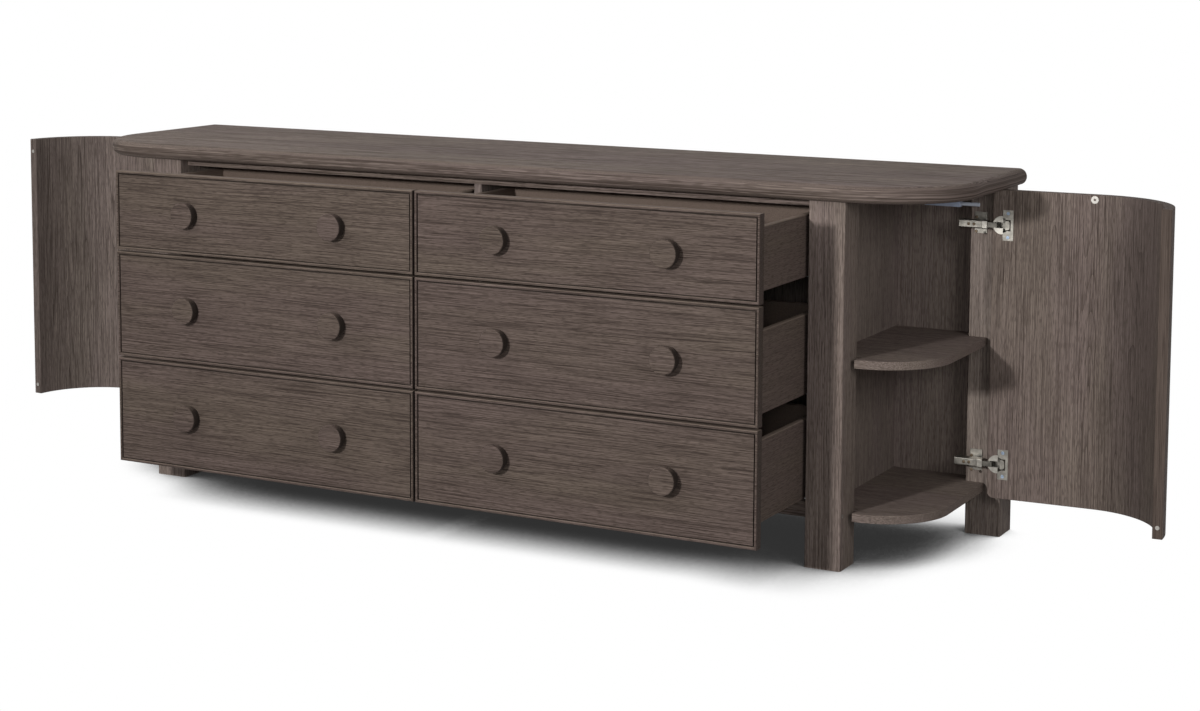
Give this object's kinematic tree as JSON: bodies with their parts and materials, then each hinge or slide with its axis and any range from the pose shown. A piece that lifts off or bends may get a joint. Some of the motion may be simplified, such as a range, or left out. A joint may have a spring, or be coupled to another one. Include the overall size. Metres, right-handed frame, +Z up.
{
  "type": "dresser",
  "caption": "Long low oak dresser with round knobs on beaded drawer fronts, square posts, a bullnosed top and open-shelved end cabinets behind curved doors.",
  "frame": {"origin": "on the floor under the middle of the carcase, between the front and rear posts", "axes": "+X to the viewer's right along the length, -Y to the front, +Z up"},
  "size_m": [2.9982, 0.768, 0.806],
  "materials": {
    "oak": "brushed open-grain oak, dark grey-brown stain, matt lacquer",
    "inside_oak": "oak veneer inside the carcase, same stain, matt lacquer",
    "drawer_box_oak": "smooth stained drawer sides, matt lacquer",
    "hinge_steel": "bright nickel-plated steel",
    "runner_steel": "zinc-plated folded steel",
    "catch_steel": "satin nickel-plated steel",
    "latch_housing": "blue-grey moulded plastic",
    "latch_plunger": "pale blue-grey moulded plastic"
  },
  "bodies": {
    "carcase": {"top": "oak", "post_front_left": "oak", "post_front_right": "oak", "post_rear_left": "oak", "post_rear_right": "oak", "divider_left": "inside_oak", "divider_right": "inside_oak", "centre_partition": "inside_oak", "back_panel": "inside_oak", "top_rail": "oak", "bottom_rail": "oak", "drawer_bay_floor": "inside_oak", "cabinet_floor_left": "inside_oak", "cabinet_floor_right": "inside_oak", "shelf_left": "inside_oak", "shelf_right": "inside_oak", "centre_foot": "oak", "carcase_runners": "runner_steel", "hinge_plates": "hinge_steel", "hinge_arms": "hinge_steel", "hinge_necks": "hinge_steel", "hinge_screws": "hinge_steel", "post_catches": "catch_steel", "latch_housings": "latch_housing"},
    "drawer_top_left": {"drawer_front_top_left": "oak", "drawer_box_top_left": "drawer_box_oak", "drawer_knobs_top_left": "oak", "drawer_runners_top_left": "runner_steel"},
    "drawer_top_right": {"drawer_front_top_right": "oak", "drawer_box_top_right": "drawer_box_oak", "drawer_knobs_top_right": "oak", "drawer_runners_top_right": "runner_steel"},
    "drawer_middle_left": {"drawer_front_middle_left": "oak", "drawer_box_middle_left": "drawer_box_oak", "drawer_knobs_middle_left": "oak", "drawer_runners_middle_left": "runner_steel"},
    "drawer_middle_right": {"drawer_front_middle_right": "oak", "drawer_box_middle_right": "drawer_box_oak", "drawer_knobs_middle_right": "oak", "drawer_runners_middle_right": "runner_steel"},
    "drawer_bottom_left": {"drawer_front_bottom_left": "oak", "drawer_box_bottom_left": "drawer_box_oak", "drawer_knobs_bottom_left": "oak", "drawer_runners_bottom_left": "runner_steel"},
    "drawer_bottom_right": {"drawer_front_bottom_right": "oak", "drawer_box_bottom_right": "drawer_box_oak", "drawer_knobs_bottom_right": "oak", "drawer_runners_bottom_right": "runner_steel"},
    "door_right": {"door_right": "oak", "hinge_cups_right": "hinge_steel", "hinge_pins_right": "hinge_steel", "strike_plate_right": "catch_steel", "door_magnets_right": "catch_steel"},
    "latch_plunger_right": {"latch_plunger_right": "latch_plunger"},
    "door_left": {"door_left": "oak", "hinge_cups_left": "hinge_steel", "hinge_pins_left": "hinge_steel", "strike_plate_left": "catch_steel", "door_magnets_left": "catch_steel"},
    "latch_plunger_left": {"latch_plunger_left": "latch_plunger"}
  },
  "joints": [
    {"name": "drawer_top_left_slide", "type": "slide", "parent": "carcase", "child": "drawer_top_left", "axis": [0, -1, 0], "range_m": [-0.245, 0.025]},
    {"name": "drawer_top_right_slide", "type": "slide", "parent": "carcase", "child": "drawer_top_right", "axis": [0, -1, 0], "range_m": [-0.245, 0.025]},
    {"name": "drawer_middle_left_slide", "type": "slide", "parent": "carcase", "child": "drawer_middle_left", "axis": [0, -1, 0], "range_m": [-0.245, 0.025]},
    {"name": "drawer_middle_right_slide", "type": "slide", "parent": "carcase", "child": "drawer_middle_right", "axis": [0, -1, 0], "range_m": [-0.245, 0.025]},
    {"name": "drawer_bottom_left_slide", "type": "slide", "parent": "carcase", "child": "drawer_bottom_left", "axis": [0, -1, 0], "range_m": [-0.245, 0.025]},
    {"name": "drawer_bottom_right_slide", "type": "slide", "parent": "carcase", "child": "drawer_bottom_right", "axis": [0, -1, 0], "range_m": [-0.245, 0.025]},
    {"name": "door_right_hinge", "type": "hinge", "parent": "carcase", "child": "door_right", "pos_m": [1.08, 0.157, 0.433], "axis": [0, 0, 1], "range_deg": [-92, 13]},
    {"name": "latch_plunger_right_slide", "type": "slide", "parent": "carcase", "child": "latch_plunger_right", "axis": [1, 0, 0], "range_m": [-0.0364, 0.0052]},
    {"name": "door_left_hinge", "type": "hinge", "parent": "carcase", "child": "door_left", "pos_m": [-1.08, 0.157, 0.433], "axis": [0, 0, -1], "range_deg": [-95, 10]},
    {"name": "latch_plunger_left_slide", "type": "slide", "parent": "carcase", "child": "latch_plunger_left", "axis": [-1, 0, 0], "range_m": [-0.0364, 0.0039]}
  ],
  "couplings": [
    {"joint": "latch_plunger_right_slide", "follows": "door_right_hinge", "m_per_rad": 0.022607},
    {"joint": "latch_plunger_left_slide", "follows": "door_left_hinge", "m_per_rad": 0.021893}
  ]
}
